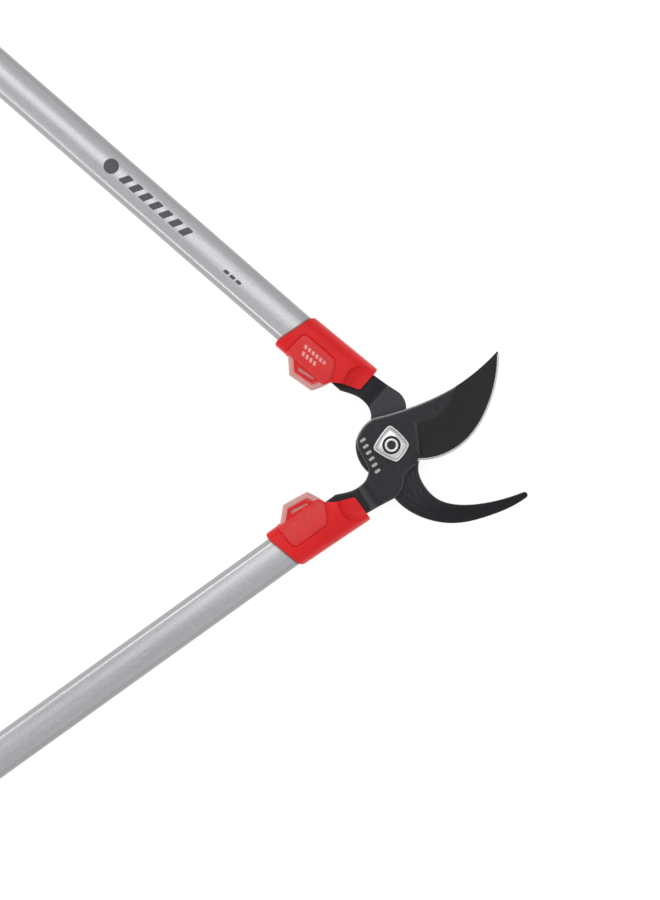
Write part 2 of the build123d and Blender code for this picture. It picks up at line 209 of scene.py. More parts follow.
def make_piece(name, points, faces, body, materials, side=None, face_material=None,
               crease=40):
    """Mesh piece from points in millimetres; side places it from the handle's frame."""
    mesh = bpy.data.meshes.new(name)
    placed = np.array(points, float) * MM
    mesh.from_pydata(placed.tolist(), [], [tuple(int(i) for i in f) for f in faces])
    if side is not None:
        mesh.transform(handle_matrix(side))
    for material in materials:
        mesh.materials.append(material)
    if face_material is not None:
        mesh.polygons.foreach_set("material_index", np.array(face_material, np.int32))
    work = bmesh.new()
    work.from_mesh(mesh)
    bmesh.ops.recalc_face_normals(work, faces=work.faces)
    work.to_mesh(mesh)
    work.free()
    mesh.shade_smooth()
    mesh.set_sharp_from_angle(angle=radians(crease))
    piece = linked(name, mesh)
    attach(piece, body)
    return piece


def arm_piece(arm, name, points, faces, slot, material, crease=40):
    """Piece of one handle, from points in that handle's frame."""
    return make_piece(f"{arm}_{name}", points, faces, BODIES[arm], [material],
                      SIDES[arm], crease=crease)


def grid_faces(rows, columns, closed=True, looped=False):
    """Quads of a grid of points; closed joins its last column to its first, looped its rows."""
    faces = []
    for row in range(rows if looped else rows - 1):
        for column in range(columns if closed else columns - 1):
            right = (column + 1) % columns
            low = row * columns
            high = (row + 1) % rows * columns
            faces.append((low + column, low + right, high + right, high + column))
    return faces


def rim_loops(node):
    """Plan outlines of a CAD plate, longest first: where its walls meet its under side."""
    work = bmesh.new()
    work.from_mesh(frame["nodes"][node].data)
    bmesh.ops.remove_doubles(work, verts=work.verts, dist=1e-6)
    beside = {}
    for edge in work.edges:
        slopes = sorted(face.normal.z for face in edge.link_faces)
        if len(slopes) == 2 and slopes[0] < -0.8 and abs(slopes[1]) < 0.5:
            for vert in edge.verts:
                beside.setdefault(vert.index, []).append(edge)
    work.verts.ensure_lookup_table()
    loops, used = [], set()
    for first in sorted(beside):
        if first in used:
            continue
        loop, vert = [], work.verts[first]
        while vert is not None:
            used.add(vert.index)
            loop.append((vert.co.x / MM, vert.co.y / MM))
            ends = (edge.other_vert(vert) for edge in beside[vert.index])
            vert = next((end for end in ends if end.index not in used), None)
        loops.append(np.array(loop))
    work.free()
    lengths = [norms(loop - np.roll(loop, 1, axis=0)).sum() for loop in loops]
    return [loops[i] for i in np.argsort(lengths)[::-1]]


def offset_lines(loop, gap, area):
    """Points at a distance from an outline, on its inner side, with their joining edges."""
    normal = left_of(np.roll(loop, -1, axis=0) - np.roll(loop, 1, axis=0))
    normal[~area(loop + normal * 0.01)] *= -1
    moved = loop + normal * gap
    kept = distance(moved, loop) > gap - 0.02
    index = {old: new for new, old in enumerate(np.flatnonzero(kept))}
    joined = [(i, (i + 1) % len(loop)) for i in range(len(loop))]
    edges = [(index[a], index[b]) for a, b in joined if kept[a] and kept[b]]
    return moved[kept], edges


def flat_mesh(loops, rings, step, lines=()):
    """Triangles that fill the first loop but not the others, finer along the rings."""
    def area(points):
        found = inside(points, loops[0])
        for hole in loops[1:]:
            found &= ~inside(points, hole)
        return found

    points, edges = [], []

    def add(new_points, new_edges):
        start = sum(len(p) for p in points)
        points.append(np.array(new_points, float))
        edges.extend((a + start, b + start) for a, b in new_edges)

    for loop in loops:
        add(loop, [(i, (i + 1) % len(loop)) for i in range(len(loop))])
    for gap in rings:
        for loop in loops:
            add(*offset_lines(loop, gap, area))
    for line in lines:
        add(line, [(i, i + 1) for i in range(len(line) - 1)])
    low, high = loops[0].min(axis=0), loops[0].max(axis=0)
    xs, ys = np.meshgrid(np.arange(low[0], high[0], step), np.arange(low[1], high[1], step))
    xs[::2] += step / 2
    filling = np.column_stack([xs.ravel(), ys.ravel()])
    filling = filling[area(filling)]
    room = max(rings, default=0) + step / 2
    for loop in loops:
        filling = filling[distance(filling, loop) > room]
    for line in lines:
        filling = filling[distance(filling, line, closed=False) > step / 2]
    add(filling, [])
    flat = [Vector(p) for p in np.concatenate(points)]
    found = delaunay_2d_cdt(flat, edges, [], 1, 1e-5)
    plan = np.array([(v.x, v.y) for v in found[0]])
    triangles = np.array([f for f in found[2] if len(f) == 3])
    middles = plan[triangles].mean(axis=1)
    hollow = np.zeros(len(triangles), bool)
    for hole in loops[1:]:
        hollow |= inside(middles, hole)
    return plan, triangles[~hollow]


def shell(top, under, faces):
    """Closed mesh between two sheets of points that share their faces."""
    count = len(top)
    sides = {}
    for face in faces:
        for edge in zip(face, (*face[1:], face[0])):
            key = (min(edge), max(edge))
            sides[key] = None if key in sides else edge
    backs = [tuple(i + count for i in reversed(face)) for face in faces]
    walls = [(b, a, a + count, b + count) for a, b in filter(None, sides.values())]
    return np.concatenate([top, under]), [*faces, *backs, *walls]


def slab(plan, triangles, top, bottom):
    """Closed mesh between a top and a bottom height over the same plan."""
    used = np.unique(triangles)
    lookup = np.full(len(plan), -1)
    lookup[used] = np.arange(len(used))
    sheets = [np.column_stack([plan[used], heights[used]]) for heights in (top, bottom)]
    return shell(*sheets, [tuple(t) for t in lookup[triangles]])


def capped(rings):
    """Closed mesh from rings of points about the middle plane, its two ends filled."""
    points = rings.reshape(-1, 3) + (0, 0, MID_Z)
    columns = rings.shape[1]
    ends = [tuple(range(columns)), tuple(range(len(points) - columns, len(points)))]
    return points, grid_faces(len(rings), columns) + ends


def rounding(depth, radius):
    """How much lower a rounded edge lies at some depth inside its outline."""
    inner = radius - np.clip(depth, 0, radius)
    return radius - np.sqrt(np.maximum(radius ** 2 - inner ** 2, 0))


def rounding_rings(radius):
    """Depths at which a rounded edge needs a row of points."""
    return [radius * (1 - cos(radians(angle))) for angle in (25, 50, 70, 90)]


# ---- materials ----

def shader_node(tree, kind, **values):
    """Adds a node; values are its settings, or its sockets by label with _ for a space."""
    made = tree.nodes.new("ShaderNode" + kind)
    for name, value in values.items():
        if hasattr(made, name):
            setattr(made, name, value)
        else:
            made.inputs[name.replace("_", " ")].default_value = value
    return made


class Finish:
    """A material with a Principled shader, and the textures that vary it."""

    def __init__(self, name, colour, roughness, metallic=0.0, **sockets):
        self.material = bpy.data.materials.new(name)
        self.material.use_nodes = True
        self.tree = self.material.node_tree
        self.shader = self.tree.nodes["Principled BSDF"]
        sockets.update(Base_Color=(*colour, 1), Roughness=roughness, Metallic=metallic)
        for label, value in sockets.items():
            self.shader.inputs[label.replace("_", " ")].default_value = value
        self.place = shader_node(self.tree, "TexCoord").outputs["Object"]
        self.height = None

    def fed(self, source, kind, socket, **values):
        """Adds a node with one of its sockets fed from an output."""
        made = shader_node(self.tree, kind, **values)
        self.tree.links.new(source, made.inputs[socket])
        return made

    def mapped(self, turn, stretch):
        """Object coordinates, turned about Z and stretched, in metres."""
        turned = self.fed(self.place, "Mapping", "Vector", Rotation=(0, 0, -turn))
        return self.fed(turned.outputs[0], "Mapping", "Vector", Scale=stretch).outputs[0]

    def noise(self, scale, detail=3.0, rough=0.5, at=None):
        """Noise over the object, or over other coordinates."""
        return self.fed(at or self.place, "TexNoise", "Vector", Scale=scale, Detail=detail,
                        Roughness=rough).outputs[0]

    def cells(self, scale):
        """Distance from the middles of scattered cells."""
        return self.fed(self.place, "TexVoronoi", "Vector", Scale=scale).outputs["Distance"]

    def spread(self, value, low, high, out_low=0.0, out_high=1.0):
        """Value mapped from one range to another, and kept inside it."""
        return self.fed(value, "MapRange", "Value", From_Min=low, From_Max=high,
                        To_Min=out_low, To_Max=out_high).outputs[0]

    def mix(self, share, first, second):
        """Colour mix; first and second are colours or outputs."""
        made = self.fed(share, "Mix", "Factor", data_type="RGBA")
        for socket, value in ((made.inputs[6], first), (made.inputs[7], second)):
            if isinstance(value, tuple):
                socket.default_value = (*value, 1)
            else:
                self.tree.links.new(value, socket)
        return made.outputs[2]

    def attribute(self, name):
        """Values painted on the mesh under a name."""
        return shader_node(self.tree, "Attribute", attribute_name=name).outputs["Fac"]

    def tone(self, share, first, second):
        """Sets the base colour to a mix."""
        self.tree.links.new(self.mix(share, first, second), self.shader.inputs["Base Color"])

    def rough(self, low, high, value):
        """Sets the roughness from a noise, within two limits."""
        ranged = self.spread(value, 0.3, 0.7, low, high)
        self.tree.links.new(ranged, self.shader.inputs["Roughness"])

    def bump(self, value, depth_mm, strength):
        """Adds fine relief; several calls lie on top of each other."""
        made = self.fed(value, "Bump", "Height", Strength=strength, Distance=depth_mm * MM)
        if self.height is not None:
            self.tree.links.new(self.height, made.inputs["Normal"])
        self.height = made.outputs[0]
        self.tree.links.new(self.height, self.shader.inputs["Normal"])


BARE_STEEL_AND_HIGHLIGHT = (0.448, 0.448, 0.464)       # where the coating has rubbed off, and a painted highlight along the blade's spine
# Painted highlight and painted shade on the dark coating, where light and shade fall on the plates.
PAINTED_HIGHLIGHT_COLOUR = (0.05, 0.05, 0.059)
PAINTED_SHADE_COLOUR = (0.0025, 0.0025, 0.003)
# Painted shade in the cap's grooves.
GROOVE_SHADE_COLOUR = (0.09, 0.09, 0.095)
# Painted shadow on the tube where it meets the ferrule.
PAINTED_SHADOW_COLOUR = (0.03, 0.012, 0.012)


def tint(colour, factor):
    """Colour made darker or lighter."""
    return tuple(c * factor for c in colour)


def coated_steel(name, colour, roughness, streak_turn, gloss):
    """Dark non-stick coating: mottled, finely pebbled, brushed marks under it, worn edges, and
    painted highlights and painted shade from the plates' attributes.
    """
    finish = Finish(name, colour, roughness, Specular_IOR_Level=gloss)
    cloud = finish.spread(finish.noise(650, 6, 0.72), 0.4, 0.66)
    coat = finish.mix(cloud, tint(colour, 0.75), tint(colour, 2.3))
    brushed = finish.noise(900, 3, 0.6, finish.mapped(streak_turn, (0.05, 1, 1)))
    coat = finish.mix(finish.spread(brushed, 0.5, 0.75, 0, 0.55), coat, tint(colour, 2.2))
    rub = finish.spread(finish.noise(700, 4, 0.7), 0.3, 0.62, 0.5, 1)
    wear_and_highlight = finish.fed(finish.attribute("wear_and_highlight"), "Math", 0, operation="MULTIPLY")
    finish.tree.links.new(rub, wear_and_highlight.inputs[1])
    # Painted highlight and painted shade from the plates' attributes.
    coat = finish.mix(finish.attribute("painted_highlight"), coat, PAINTED_HIGHLIGHT_COLOUR)
    coat = finish.mix(finish.attribute("shade"), coat, PAINTED_SHADE_COLOUR)
    finish.tone(wear_and_highlight.outputs[0], coat, BARE_STEEL_AND_HIGHLIGHT)
    finish.rough(roughness - 0.06, roughness + 0.12, finish.noise(320, 4))
    finish.bump(finish.noise(1700, 3, 0.6), 0.06, 0.6)
    finish.bump(brushed, 0.02, 0.5)
    finish.bump(finish.noise(110, 2), 0.15, 0.3)
    return finish.material


def ground_steel(name, colour):
    """Coated face over grinding marks, which run across the blade."""
    finish = Finish(name, colour, 0.4, Specular_IOR_Level=0.35)
    lines = finish.noise(1400, 2, 0.5, finish.mapped(radians(-40), (0.03, 1, 1)))
    finish.tone(finish.spread(lines, 0.4, 0.65), colour, tint(colour, 1.5))
    finish.rough(0.36, 0.48, finish.noise(130, 4))
    finish.bump(lines, 0.02, 0.5)
    finish.bump(finish.noise(1800, 2), 0.02, 0.3)
    return finish.material


def sharp_steel(name):
    """Bare sharpened strip with fine stoning marks."""
    finish = Finish(name, (0.72, 0.71, 0.69), 0.3, 1.0)
    lines = finish.noise(2600, 2, 0.5, finish.mapped(radians(40), (0.06, 1, 1)))
    finish.tone(finish.spread(lines, 0.35, 0.7), (0.55, 0.54, 0.52), (0.8, 0.79, 0.77))
    finish.rough(0.24, 0.42, lines)
    finish.bump(lines, 0.015, 0.6)
    return finish.material


def plated_steel(name, colour, roughness):
    """Zinc-plated or satin metal with faint clouding and fine scratches."""
    finish = Finish(name, colour, roughness, 1.0)
    cloud = finish.spread(finish.noise(170, 5, 0.6), 0.35, 0.68)
    finish.tone(cloud, tint(colour, 0.86), colour)
    finish.rough(roughness * 0.8, roughness * 1.35, finish.noise(420, 5, 0.7))
    finish.bump(finish.noise(900, 3, 0.6, finish.mapped(radians(20), (1, 0.2, 1))), 0.02, 0.4)
    return finish.material


def chromed_steel(name, colour, roughness):
    """Bright plating over a pressed cap, with painted shade down in its grooves."""
    finish = Finish(name, colour, roughness, 1.0)
    cloud = finish.spread(finish.noise(90, 3, 0.5), 0.35, 0.68)
    bright = finish.mix(cloud, tint(colour, 0.93), colour)
    # Painted shade in the grooves.
    finish.tone(finish.attribute("groove"), bright, GROOVE_SHADE_COLOUR)
    finish.rough(roughness * 0.85, roughness * 1.2, finish.noise(300, 3, 0.6))
    finish.bump(finish.noise(700, 2, 0.5), 0.004, 0.3)
    return finish.material


def satin_tube(name, side):
    """Satin silver tube: the grain drawn along it spreads a highlight only across it."""
    finish = Finish(name, (0.5, 0.505, 0.52), 0.34, 0.85)
    grain = finish.noise(1500, 3, 0.6, finish.mapped(-side * HALF_OPENING, (0.02, 1, 1)))
    streak = finish.noise(260, 2, 0.5, finish.mapped(-side * HALF_OPENING, (0.03, 1, 1)))
    tone = finish.mix(finish.spread(streak, 0.35, 0.65), (0.42, 0.425, 0.44), (0.48, 0.485, 0.5))
    fleck = finish.spread(finish.noise(1300, 3, 0.6), 0.4, 0.66, 0, 0.55)
    tone = finish.mix(fleck, tone, (0.66, 0.66, 0.68))
    # Painted shade on the tube's flanks, a painted highlight along its ridge and a painted shadow
    # beside the ferrule.
    tone = finish.mix(finish.attribute("painted_flank_shade"), tone, (0.3, 0.3, 0.31))
    tone = finish.mix(finish.attribute("ridge"), tone, (0.97, 0.97, 0.98))
    finish.tone(finish.attribute("painted_shadow"), tone, PAINTED_SHADOW_COLOUR)
    finish.rough(0.3, 0.38, grain)
    finish.bump(grain, 0.1, 0.6)
    return finish.material


def moulded_plastic(name, colour, roughness):
    """Semi-gloss moulding: faint flow clouds and a fine spark-eroded texture."""
    finish = Finish(name, colour, roughness, Specular_IOR_Level=0.22)
    finish.tone(finish.spread(finish.noise(45, 3), 0.3, 0.7), tint(colour, 0.88), colour)
    finish.rough(roughness - 0.05, roughness + 0.08, finish.noise(300, 4, 0.6))
    finish.bump(finish.noise(2400, 2, 0.5), 0.02, 0.4)
    return finish.material


def clear_rubber(name, rim, core, scatter):
    """Milky elastomer: pale where it is clear to the edge, red over the ferrule inside."""
    finish = Finish(name, rim, 0.36, Specular_IOR_Level=0.45, Subsurface_Weight=scatter,
                    Subsurface_Radius=(0.003, 0.0009, 0.0007))
    cloud = finish.spread(finish.noise(160, 4), 0.3, 0.7)
    shallow = finish.mix(cloud, rim, tuple(c + (1 - c) * 0.1 for c in rim))
    finish.tone(finish.attribute("core"), shallow, finish.mix(cloud, core, tint(core, 0.86)))
    finish.rough(0.3, 0.44, finish.noise(260, 3))
    finish.bump(finish.noise(1800, 2), 0.02, 0.35)
    return finish.material


def grip_rubber(name, colour):
    """Matt rubber with a leathery pebble and dusty highs."""
    finish = Finish(name, colour, 0.62, Specular_IOR_Level=0.35)
    dust = finish.spread(finish.noise(60, 5, 0.65), 0.45, 0.75, 0, 0.5)
    finish.tone(dust, colour, tuple(c * 1.7 + 0.004 for c in colour))
    finish.rough(0.54, 0.74, finish.noise(400, 3))
    finish.bump(finish.cells(1100), 0.08, 0.6)
    return finish.material


def printed_ink(name, colour):
    """Thin print, a little uneven."""
    finish = Finish(name, colour, 0.5)
    speck = finish.spread(finish.noise(1500, 3, 0.7), 0.3, 0.7)
    finish.tone(speck, tint(colour, 0.75), tint(colour, 1.3))
    finish.bump(finish.noise(2500, 2), 0.01, 0.3)
    return finish.material


COATED = coated_steel("coated_steel", (0.0104, 0.0101, 0.0136), 0.42, radians(-52), 0.36)
COATED_HOOK = coated_steel("coated_hook_steel", (0.0055, 0.0057, 0.0075), 0.4, radians(-38), 0.2)
GROUND = ground_steel("ground_steel", (0.007, 0.007, 0.0075))
SHARP = sharp_steel("sharp_steel")
FASTENER = plated_steel("fastener_steel", (0.52, 0.52, 0.53), 0.33)
OXIDE = plated_steel("black_oxide_steel", (0.06, 0.06, 0.063), 0.4)
CAP_METAL = chromed_steel("cap_metal", (0.74, 0.74, 0.755), 0.28)
BRONZE = plated_steel("bush_bronze", (0.55, 0.36, 0.16), 0.4)
RED = moulded_plastic("red_plastic", (0.77, 0.012, 0.015), 0.32)
CAP_PLASTIC = moulded_plastic("cap_plastic", (0.5, 0.008, 0.01), 0.42)
INNER = moulded_plastic("inner_plastic", (0.1, 0.1, 0.1), 0.55)
BLACK = moulded_plastic("black_enamel", (0.015, 0.015, 0.017), 0.25)
BUMPER = clear_rubber("bumper_rubber", (0.66, 0.35, 0.325), (0.7, 0.022, 0.022), 0.35)
PANEL = clear_rubber("panel_rubber", (0.9, 0.45, 0.4), (0.76, 0.02, 0.022), 0.06)
GRIP = grip_rubber("grip_rubber", (0.018, 0.018, 0.019))
INLAY = grip_rubber("inlay_rubber", (0.4, 0.012, 0.014))
INK = printed_ink("printed_ink", (0.075, 0.075, 0.08))
ETCHED = printed_ink("etched_mark", (0.42, 0.42, 0.41))


def finish_node(name, material):
    """Gives a CAD node that is shown as it is its detailed material."""
    slots = frame["nodes"][name].data.materials
    slots.clear()
    slots.append(material)


# ---- forged plates ----

PLATE = 5.0
SIDE_GAP = 0.1
JOGGLE = (-30.0, -38.0)
HEEL = np.array((20.3, -9.5))    # ends of the cutting edge
TIP = np.array((72.3, 67.0))
GRIND_WIDTH = 26.5
GRIND_EDGE = 1.5
BEVEL_WIDTH = 1.4
BEVEL_EDGE = 0.25
SPINE_ROUND = 0.9
RUN_OUT = np.array((16.2, 16.7))
ONWARD = left_of((HEEL - RUN_OUT)[None])[0]     # across the line from RUN_OUT to HEEL


def plate_floor(plan, side):
    """Height of a plate's under side, stepped at the joggle."""
    along = to_handle(plan, side)[:, 0]
    share = np.clip((JOGGLE[0] - along) / (JOGGLE[0] - JOGGLE[1]), 0, 1)
    level = -side * (SIDE_GAP + PLATE / 2)
    return MID_Z - PLATE / 2 + level * (1 - share)


def joggle_lines(side):
    """Where the joggle bends, as lines across the tang in the tool's frame."""
    lines = []
    for along in (JOGGLE[0] + 0.7, *JOGGLE, JOGGLE[1] - 0.7, sum(JOGGLE) / 2):
        ends = np.array([(along, 2.0), (along, 34.0)])
        steps = np.linspace(ends[0], ends[1], 40)
        turned = [handle_matrix(side) @ Vector((x, y, 0)) for x, y in steps]
        lines.append(np.array([(p.x, p.y) for p in turned]))
    return lines


def stretch(loop, start, end):
    """The shorter run of a closed outline between the points nearest start and end."""
    first = int(np.argmin(norms(loop - start)))
    last = int(np.argmin(norms(loop - end)))
    forward = np.roll(loop, -first, axis=0)[:(last - first) % len(loop) + 1]
    backward = np.roll(loop, -last, axis=0)[:(first - last) % len(loop) + 1]
    return min((forward, backward[::-1]), key=lambda run: norms(np.diff(run, axis=0)).sum())


def paint(piece, name, values):
    """Stores a value at each point of a piece, for its material."""
    layer = piece.data.attributes.new(name, "FLOAT", "POINT")
    layer.data.foreach_set("value", np.array(values, np.float32))


def blade_thickness(plan, deep, from_edge):
    """Thickness over the plan: rounded edges, the hollow grind and the sharpened strip."""
    ramp = smooth(((plan - HEEL) @ ONWARD + 0.2) / 2.6)
    hollow = GRIND_EDGE + (PLATE - GRIND_EDGE) * np.clip(from_edge / GRIND_WIDTH, 0, 1) ** 1.25
    hollow = PLATE - (PLATE - hollow) * ramp
    slope = (GRIND_EDGE - BEVEL_EDGE) / BEVEL_WIDTH
    full = PLATE - rounding(deep, SPINE_ROUND)
    return np.minimum(np.minimum(full, hollow), BEVEL_EDGE + slope * from_edge)


def blade_kinds(points, faces, edge):
    """Which material each face takes: 0 coated, 1 ground, 2 sharpened."""
    middles = np.array([points[list(f)].mean(axis=0) for f in faces])
    near = distance(middles[:, :2], edge, closed=False)
    beside = (middles[:, :2] - HEEL) @ ONWARD
    rise = middles[:, 2] - plate_floor(middles[:, :2], -1)
    kinds = np.where((near < GRIND_WIDTH) & (beside > 1.0) & (rise > 0.9), 1, 0)
    return np.where((near < BEVEL_WIDTH + 0.02) & (rise > 0.02), 2, kinds)


def paint_blade(piece, points, outline, edge):
    """Worn bare metal along the spine and the grind's end, brightened there as a painted highlight;
    a painted highlight on the tang's step, painted shade at its bend and next to the ferrule.
    """
    plan = points[:, :2]
    # Painted highlight: the worn rim is made brighter along the up-left spine and the grind's end
    # wall, where light catches them.
    spine = smooth((plan @ np.array((-0.5, 0.87)) - 8) / 10)
    spine = 0.15 + 0.85 * spine * (1 - 0.6 * smooth((norms(plan) - 30) / 25))
    rim = np.exp(-(distance(plan, outline) / SPINE_ROUND) ** 2) * spine
    high = (points[:, 2] - plate_floor(plan, -1)) > PLATE - 0.6
    wall = np.exp(-np.abs((plan - HEEL) @ ONWARD + 0.1) / 0.25) * high
    wall *= distance(plan, edge, closed=False) < GRIND_WIDTH
    paint(piece, "wear_and_highlight", np.maximum(rim, wall * 0.12))
    # Painted highlight on the joggle's slope; painted shade at the start of the bend and between
    # the step and the ferrule.
    along, beside = to_handle(plan, -1).T
    bend = -36.5 - 0.122 * (beside - 11.9)
    paint(piece, "painted_highlight", smooth((JOGGLE[0] - 1 - along) / 4.5) * smooth((along - bend) / 0.4))
    joggle_shade = 0.45 * np.exp(-((along - JOGGLE[0] + 0.5) / 1.6) ** 2)
    paint(piece, "shade", np.maximum(joggle_shade, 0.75 * smooth((bend + 0.3 - along) / 0.4)))


def blade_piece():
    """Cutting blade: hollow-ground face, bright sharpened strip, rounded forged edges."""
    outline, hole = rim_loops("cutting_blade")[:2]
    outline = respaced(outline, 0.9)
    edge = stretch(outline, HEEL, TIP)
    shoulder = edge + left_of(np.gradient(edge, axis=0)) * GRIND_WIDTH
    run_outs = [np.linspace(RUN_OUT, HEEL, 40) + ONWARD * reach for reach in (-0.2, 0.7, 1.6, 2.4)]
    rings = rounding_rings(SPINE_ROUND) + [BEVEL_WIDTH, BEVEL_WIDTH + 0.15, 2.4]
    plan, triangles = flat_mesh([outline, hole], rings, 1.3,
                                [shoulder, *run_outs, *joggle_lines(-1)])
    floor = plate_floor(plan, -1)
    deep = distance(plan, outline)
    from_edge = distance(plan, edge, closed=False)
    bottom = rounding(deep, 0.3) * smooth((from_edge - 1.0) / 3)
    points, faces = slab(plan, triangles, floor + blade_thickness(plan, deep, from_edge),
                         floor + bottom)
    piece = make_piece("cutting_blade_forged", points, faces, "blade_arm",
                       [COATED, GROUND, SHARP], face_material=blade_kinds(points, faces, edge),
                       crease=32)
    paint_blade(piece, points, outline, edge)
    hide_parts("cutting_blade")


def hook_piece():
    """Counter blade: square contact edge above, rounded below, rubbed round the pivot, with a
    painted highlight there and on the hub side of the joggle, and a painted shadow next to the
    ferrule.
    """
    outline, hole = rim_loops("hook")[:2]
    outline = respaced(outline, 0.9)
    plan, triangles = flat_mesh([outline, hole], rounding_rings(0.5) + [0.9], 1.5,
                                joggle_lines(1))
    floor = plate_floor(plan, 1)
    deep = distance(plan, outline)
    points, faces = slab(plan, triangles, floor + PLATE - rounding(deep, 0.5),
                         floor + rounding(deep, 0.9))
    piece = make_piece("hook_forged", points, faces, "hook_arm",
                       [COATED_HOOK], crease=32)
    depth = distance(points[:, :2], outline)
    paint(piece, "wear_and_highlight", np.exp(-depth / 0.3) * 0.15)
    along, beside = to_handle(points[:, :2], 1).T
    # Painted highlight on the hub side of the joggle and near the pivot, with brushed streaks in
    # it.
    tang = 0.22 + 0.78 * smooth((along - JOGGLE[0]) / 0.7)
    tang *= smooth((points[:, 1] + 2) / 10)
    brushed = 0.55 + 0.3 * np.sin(depth * 1.7) + 0.15 * np.sin(depth * 3.1 + 1)
    pivot_highlight = (1 - smooth((norms(points[:, :2]) - 24) / 42)) * brushed
    paint(piece, "painted_highlight", np.maximum(tang, pivot_highlight * smooth((10 - points[:, 1]) / 6)))
    # Painted shadow on the tang along the ferrule's front edge.
    paint(piece, "shade", 0.9 * smooth((front_line(beside) + 0.9 - along) / 0.6))
    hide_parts("hook")


# ---- pivot ----

# Inset from the rim, or radius about the bolt, and height at each ring of the cap.
CAP_RIMS = ((0.0, 0.0), (0.0, 2.6), (0.03, 2.95), (0.12, 3.25), (0.3, 3.55), (0.55, 3.78),
            (0.85, 3.9), (1.15, 3.9), (1.32, 3.82), (1.42, 3.6), (1.48, 3.3), (1.56, 3.18),
            (1.75, 3.15), (1.95, 3.18), (2.02, 3.3), (2.08, 3.6), (2.2, 3.78), (2.35, 3.84),
            (2.5, 3.8), (2.62, 3.6), (2.7, 3.2), (2.8, 3.02), (2.95, 2.98))
CAP_BOSS = ((6.5, 3.2), (6.42, 3.18), (6.36, 3.0), (6.2, 2.98), (5.1, 2.98), (4.95, 3.0),
            (4.88, 3.2), (4.8, 3.6), (4.7, 3.78), (4.5, 3.88), (4.2, 3.92), (3.6, 3.92),
            (3.3, 3.86), (3.08, 3.7), (2.96, 3.45), (2.9, 3.2), (2.9, 2.9))
CAP_POCKET = ((7.4, 2.9), (7.4, 0.0))
CAP_GROOVE_SHADE = ((1.75, 0.85, 0.19), (2.92, 0.4, 0.12))     # inset, strength and width of the painted shade in each groove


def cap_piece():
    """Shield-shaped cap: two raised rims, a domed field, a black ring and a central boss."""
    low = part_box("pivot_cap")[0] / MM
    rim = respaced(rim_loops("pivot_cap")[0], 0.3)
    inward = softened(left_of(np.roll(rim, 1, axis=0) - np.roll(rim, -1, axis=0)), 12)
    around = rim / norms(rim)[:, None]
    rows = [(rim + inward * inset, height) for inset, height in CAP_RIMS]
    field, start = rows[-1]
    end, level = around * CAP_BOSS[0][0], CAP_BOSS[0][1]
    for share in (0.2, 0.4, 0.6, 0.8, 0.95):
        rows.append((field + (end - field) * share, start + (level - start) * smooth(share)))
    rows += [(around * radius, height) for radius, height in (*CAP_BOSS, *CAP_POCKET)]
    points = np.concatenate([np.column_stack([plan, np.full(len(plan), low.z + height)])
                             for plan, height in rows])
    faces = grid_faces(len(rows), len(rim), looped=True)
    middles = np.array([points[list(f)].mean(axis=0) for f in faces])
    radius = norms(middles[:, :2])
    black = (radius > 4.95) & (radius < 6.4) & (np.abs(middles[:, 2] - low.z - 2.98) < 0.03)
    piece = make_piece("pivot_cap_shield", points, faces, "blade_arm",
                       [CAP_METAL, BLACK], face_material=black.astype(int), crease=45)
    # Painted shade in the grooves between the rims.
    insets = [inset for inset, _ in CAP_RIMS]
    shade = [sum(deep * np.exp(-((inset - place) / wide) ** 2) for place, deep, wide in CAP_GROOVE_SHADE)
             for inset in insets] + [0.0] * (len(rows) - len(insets))
    paint(piece, "groove", np.repeat(shade, len(rim)))
    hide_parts("pivot_cap")


# ---- ferrule and bumper ----

TUBE_Y = 16.5
FERRULE_UPPER = ((17.2, 0), (9, 11.5), (-3, 12.2), (-12.5, 11), (-15.8, 8.9), (-17.2, 5),
                 (-17.4, 0))
REAR_OUTER, FRONT_OUTER = 15.6, 17.2     # the ferrule's outer side, from the tube's middle
TUBE_HEAD = ((13.5, 0), (7, 9.2), (-1.5, 10), (-9.5, 8.6), (-11.7, 6.1), (-13.2, 3),
             (-13.5, 0))
TUBE_FRONT = -64.0
TUBE_OVAL_FROM = -330.0
TUBE_BACK = -686.0
TUBE_HALF = (13.5, 10.0)
TUBE_WALL = 1.6
RIDGE = -9.6                    # where the tube's upper face bends over to its inner side
TANG_ROOM = (3.1, 5.0, 29.3)    # half height, and inner and outer side, of the tang's slot


def section(upper):
    """Closed ring of a section that is the same above and below, made of six arcs."""
    outer, shoulder, top, ridge, corner, edge, inner = upper
    under = [(u, -v) for u, v in upper]
    arcs = ((under[5], inner, edge), (edge, corner, ridge), (ridge, top, shoulder),
            (shoulder, outer, under[1]), (under[1], under[2], under[3]),
            (under[3], under[4], under[5]))
    share = (20, 22, 44, 52, 44, 22)
    return np.vstack([arc(*points, count) for points, count in zip(arcs, share)])


